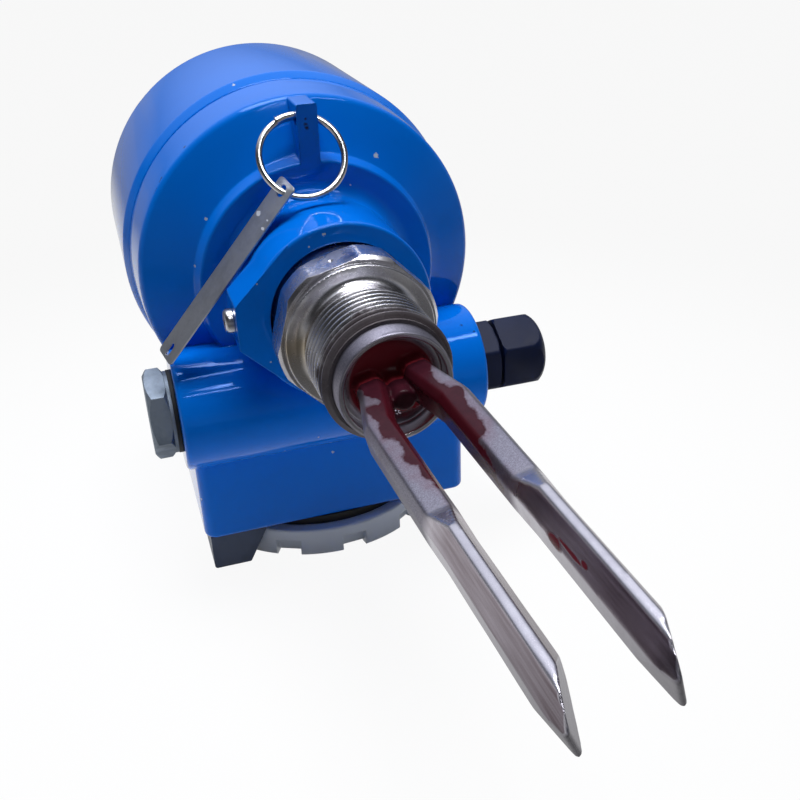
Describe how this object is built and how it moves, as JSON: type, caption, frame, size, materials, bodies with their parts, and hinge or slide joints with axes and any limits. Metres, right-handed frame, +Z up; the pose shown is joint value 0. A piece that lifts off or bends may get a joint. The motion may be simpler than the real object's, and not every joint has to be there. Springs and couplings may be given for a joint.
{
  "type": "vibrating fork level switch",
  "caption": "Vibrating fork level switch: painted metal housing with screw covers, cable gland and blind plug, swivelling on a hexagon and pipe thread that ends in a tuning fork.",
  "frame": {"origin": "on the fork axis, in the middle of the pipe thread", "axes": "+X to the cable gland, -Y along the fork, +Z up; the part stands on the lugs of its terminal cover"},
  "size_m": [0.1261, 0.2831, 0.1489],
  "materials": {
    "blue_enamel": "blue gloss enamel over a die casting",
    "grey_enamel": "slate grey enamel over a die casting",
    "stainless": "turned and bead-blasted stainless steel",
    "steel_parts": "plain stainless steel",
    "blackened_clamp": "dark coated steel",
    "zinc_plug": "dull zinc grey",
    "gland_nylon": "navy black satin polyamide",
    "insert_plastic": "dark moulded plastic",
    "switch_plastic": "light moulded plastic",
    "lamp_plastic": "clear tinted lens",
    "ceramic": "fired ceramic",
    "terminal_brass": "bright plated brass",
    "seal_rubber": "black nitrile rubber"
  },
  "bodies": {
    "housing": {"housing": "blue_enamel", "electronics_insert": "insert_plastic", "insert_screws": "steel_parts", "status_lamps": "lamp_plastic", "feedthrough": "ceramic", "feedthrough_pins": "terminal_brass", "terminal_block": "insert_plastic", "terminal_screws": "terminal_brass", "block_screws": "steel_parts", "earth_screw": "steel_parts", "cover_clamp": "blackened_clamp", "clamp_screw": "steel_parts", "collar_screw": "steel_parts", "blind_plug": "zinc_plug", "plug_seal": "seal_rubber", "gland_body": "gland_nylon", "gland_gasket": "seal_rubber"},
    "sensor": {"process_adapter": "stainless", "fork": "stainless", "stack_stud": "steel_parts", "piezo_discs": "ceramic", "insulating_rings": "ceramic", "stack_nut": "steel_parts", "neck_o_rings": "seal_rubber", "retaining_ring": "steel_parts"},
    "main_cover_travel": {"main_cover_o_ring": "seal_rubber"},
    "main_cover": {"main_cover": "blue_enamel"},
    "terminal_cover_travel": {"terminal_cover_o_ring": "seal_rubber"},
    "terminal_cover": {"terminal_cover": "grey_enamel"},
    "gland_travel": {"gland_seal": "seal_rubber"},
    "gland_nut": {"gland_nut": "gland_nylon"},
    "tag_ring": {"tag_ring": "steel_parts"},
    "tag_plate": {"tag_plate": "steel_parts"},
    "failsafe_switch": {"failsafe_switch": "switch_plastic"},
    "density_switch": {"density_switch": "switch_plastic"}
  },
  "joints": [
    {"name": "sensor_swivel", "type": "hinge", "parent": "housing", "child": "sensor", "pos_m": [0, 0.0349, 0], "axis": [0, 1, 0], "range_deg": [-175, 175]},
    {"name": "main_cover_advance", "type": "slide", "parent": "housing", "child": "main_cover_travel", "axis": [0, 1, 0], "range_m": [0, 0.0166]},
    {"name": "main_cover_turn", "type": "hinge", "parent": "main_cover_travel", "child": "main_cover", "pos_m": [0, 0.1249, 0], "axis": [0, 1, 0], "range_deg": [0, 1980]},
    {"name": "terminal_cover_advance", "type": "slide", "parent": "housing", "child": "terminal_cover_travel", "axis": [0, 0, -1], "range_m": [0, 0.0061]},
    {"name": "terminal_cover_turn", "type": "hinge", "parent": "terminal_cover_travel", "child": "terminal_cover", "pos_m": [0, 0.0974, -0.088], "axis": [0, 0, -1], "range_deg": [0, 1440]},
    {"name": "gland_advance", "type": "slide", "parent": "housing", "child": "gland_travel", "axis": [1, 0, 0], "range_m": [0, 0.0061]},
    {"name": "gland_turn", "type": "hinge", "parent": "gland_travel", "child": "gland_nut", "pos_m": [0.06, 0.0612, -0.0352], "axis": [1, 0, 0], "range_deg": [0, 1440]},
    {"name": "ring_swing", "type": "hinge", "parent": "housing", "child": "tag_ring", "pos_m": [0, 0.0635, 0.0466], "axis": [1, 0, 0], "range_deg": [-100, 0]},
    {"name": "tag_swing", "type": "hinge", "parent": "tag_ring", "child": "tag_plate", "pos_m": [-0.01048, 0.05165, 0.03028], "axis": [0.7771, -0.3699, -0.5091], "range_deg": [-70, 0]},
    {"name": "failsafe_slide", "type": "slide", "parent": "housing", "child": "failsafe_switch", "axis": [1, 0, 0], "range_m": [0, 0.0022]},
    {"name": "density_slide", "type": "slide", "parent": "housing", "child": "density_switch", "axis": [1, 0, 0], "range_m": [0, 0.0022]}
  ],
  "couplings": [
    {"joint": "main_cover_advance", "follows": "main_cover_turn", "m_per_rad": 0.00047746},
    {"joint": "terminal_cover_advance", "follows": "terminal_cover_turn", "m_per_rad": 0.00023873},
    {"joint": "gland_advance", "follows": "gland_turn", "m_per_rad": 0.00023873}
  ]
}
